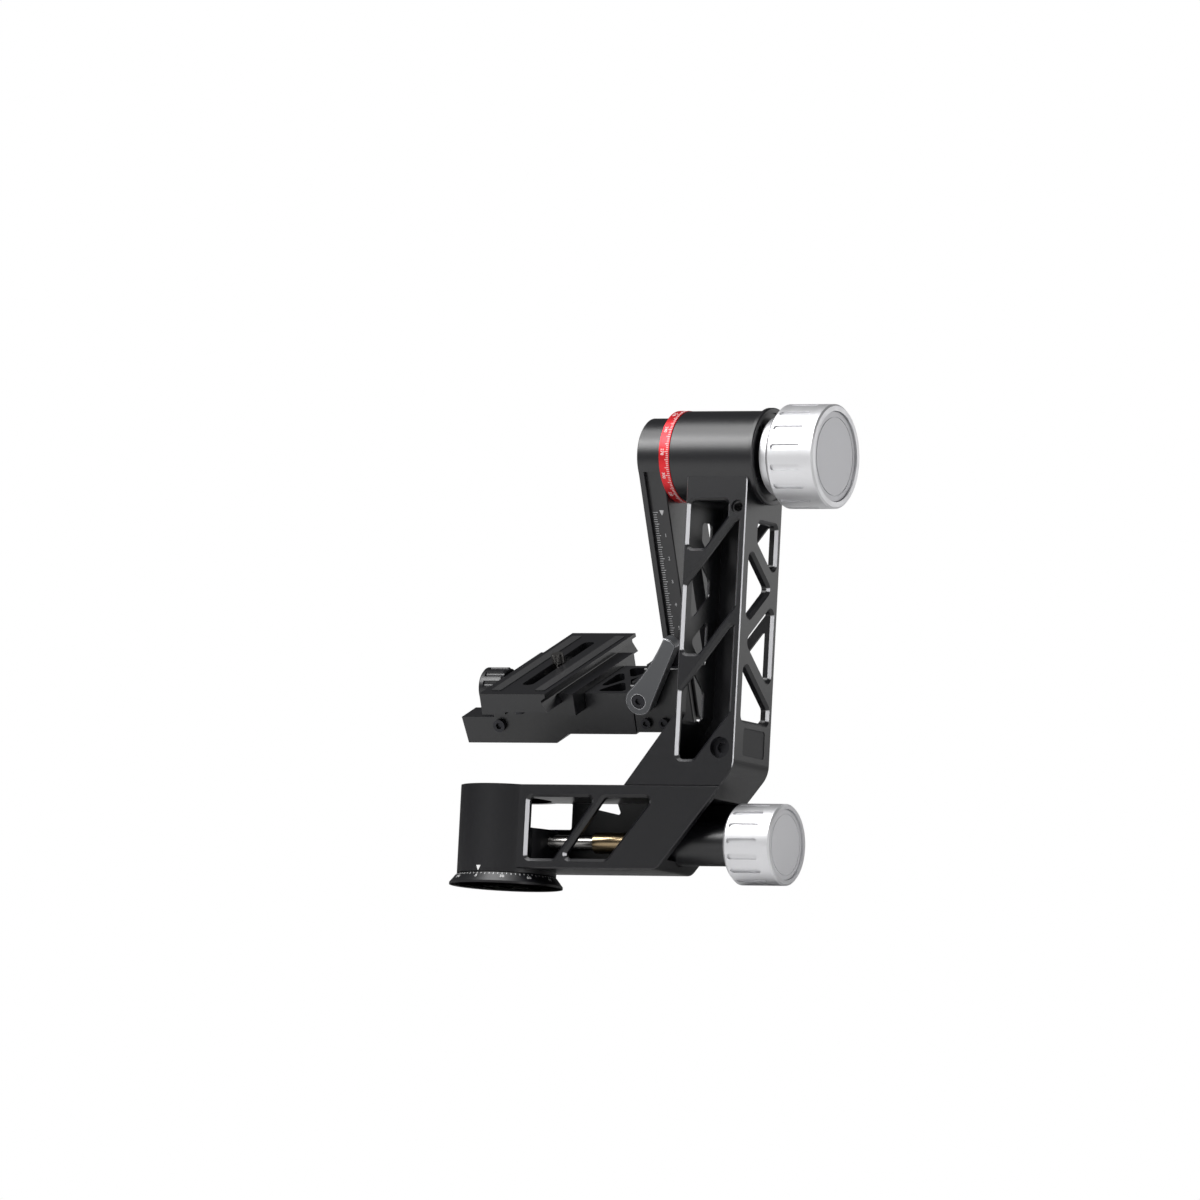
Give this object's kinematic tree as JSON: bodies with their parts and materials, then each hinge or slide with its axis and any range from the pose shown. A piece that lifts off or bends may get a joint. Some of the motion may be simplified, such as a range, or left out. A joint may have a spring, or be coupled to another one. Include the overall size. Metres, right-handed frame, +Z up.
{
  "type": "gimbal head",
  "caption": "Side-mount gimbal head: round base, latticed pan arm and upright, tilt housing with red scale ring, swing arm, height carriage with lever, plate clamp and silver knobs.",
  "frame": {"origin": "centre of the base's flat underside, on the pan axis", "axes": "+Z up along the pan axis; +X along the pan arm towards the two silver knobs, parallel to the tilt axis; +Y towards the back, away from the pan index"},
  "size_m": [0.2324, 0.1285, 0.2549],
  "materials": {
    "black": "satin black anodised aluminium with bright machined edges",
    "black_screw": "black oxide steel",
    "silver": "satin silver anodised aluminium",
    "silver_face": "turned silver anodised face",
    "red": "red anodised aluminium with white marks",
    "steel": "machined steel",
    "bearing_steel": "ground and polished bearing steel",
    "brass": "turned brass",
    "grey": "grey anodised aluminium with bright edges",
    "rubber": "ribbed black rubber",
    "nylon": "dark nylon",
    "label": "bare black plate"
  },
  "bodies": {
    "base": {"base_ring": "black", "thread_insert": "steel", "base_screws": "black_screw", "pan_shaft": "steel", "brake_drum": "steel", "pan_bearing_inner_races": "bearing_steel"},
    "pan_frame": {"pan_arm": "black", "hub_cap": "black", "pan_bearing_outer_races": "bearing_steel", "pan_bearing_balls": "bearing_steel", "lock_neck": "black", "lock_guide": "brass", "upright_foot": "black", "upright_arm": "black", "tilt_housing": "black", "label_plate": "label", "seam_bolts": "black_screw", "side_bolts": "black_screw", "tilt_bearing_outer_races": "bearing_steel", "tilt_bearing_balls": "bearing_steel", "end_cap": "black", "end_cap_screws": "black_screw"},
    "pan_lock_knob": {"pan_knob": "silver", "pan_knob_cap": "silver_face", "lock_spindle": "steel"},
    "pan_brake": {"brake_shoe": "nylon"},
    "swing": {"swing_arm": "black", "head_cover": "black", "axle_bolts": "black_screw", "tilt_scale_ring": "red", "tilt_axle": "steel", "tilt_bearing_inner_races": "bearing_steel"},
    "tilt_lock_knob": {"tilt_knob": "silver", "tilt_knob_bush": "brass", "tilt_knob_cap": "silver_face"},
    "tilt_drag": {"drag_collar": "silver", "thrust_washer": "nylon"},
    "height_carriage": {"carriage": "black", "side_screw": "steel", "guide_screws": "black_screw", "clamp_body": "black", "clamp_pins": "steel", "clamp_bolts": "black_screw"},
    "height_jaw": {"slider_jaw": "black"},
    "lever": {"height_lever": "grey", "lever_stud": "steel", "lever_spacer": "black"},
    "plate_jaw": {"clamp_jaw": "black"},
    "plate_clamp_knob": {"clamp_knob": "black", "clamp_spindle": "steel"},
    "plate": {"qr_plate": "black", "plate_pads": "rubber", "plate_screw": "steel", "plate_stops": "black_screw"}
  },
  "joints": [
    {"name": "pan", "type": "hinge", "parent": "base", "child": "pan_frame", "pos_m": [0, 0, 0], "axis": [0, 0, 1], "continuous": true},
    {"name": "pan_lock", "type": "hinge", "parent": "pan_frame", "child": "pan_lock_knob", "pos_m": [0.15, 0, 0.0237], "axis": [-1, 0, 0], "range_deg": [0, 270]},
    {"name": "pan_brake_press", "type": "slide", "parent": "pan_frame", "child": "pan_brake", "axis": [-1, 0, 0], "range_m": [0, 0.000937]},
    {"name": "tilt", "type": "hinge", "parent": "pan_frame", "child": "swing", "pos_m": [0.12, 0, 0.2275], "axis": [1, 0, 0], "continuous": true},
    {"name": "tilt_lock", "type": "hinge", "parent": "swing", "child": "tilt_lock_knob", "pos_m": [0.17, 0, 0.2275], "axis": [-1, 0, 0], "range_deg": [0, 200]},
    {"name": "tilt_drag_press", "type": "slide", "parent": "swing", "child": "tilt_drag", "axis": [-1, 0, 0], "range_m": [0, 0.000833]},
    {"name": "height", "type": "slide", "parent": "swing", "child": "height_carriage", "axis": [0, -0.3987, 0.9171], "range_m": [-0.0075, 0.06]},
    {"name": "height_lock", "type": "hinge", "parent": "height_carriage", "child": "lever", "pos_m": [0.0633, 0.02201, 0.10164], "axis": [0, -0.9171, -0.3987], "range_deg": [0, 90]},
    {"name": "height_jaw_press", "type": "slide", "parent": "height_carriage", "child": "height_jaw", "axis": [0, -0.9171, -0.3987], "range_m": [0, 0.000249]},
    {"name": "plate_jaw_move", "type": "slide", "parent": "height_carriage", "child": "plate_jaw", "axis": [-1, 0, 0], "range_m": [0, 0.00347]},
    {"name": "plate_lock", "type": "hinge", "parent": "plate_jaw", "child": "plate_clamp_knob", "pos_m": [-0.038, 0.05096, 0.1103], "axis": [1, 0, 0], "range_deg": [0, 1000]},
    {"name": "plate_slide", "type": "slide", "parent": "height_carriage", "child": "plate", "axis": [0, 0.9171, 0.3987], "range_m": [-0.0095, 0.0095]}
  ],
  "couplings": [
    {"joint": "pan_lock", "follows": "pan_brake_press", "rad_per_m": 5026.5},
    {"joint": "tilt_lock", "follows": "tilt_drag_press", "rad_per_m": 4188.8},
    {"joint": "height_lock", "follows": "height_jaw_press", "rad_per_m": 6283.2},
    {"joint": "plate_lock", "follows": "plate_jaw_move", "rad_per_m": 5026.5}
  ]
}
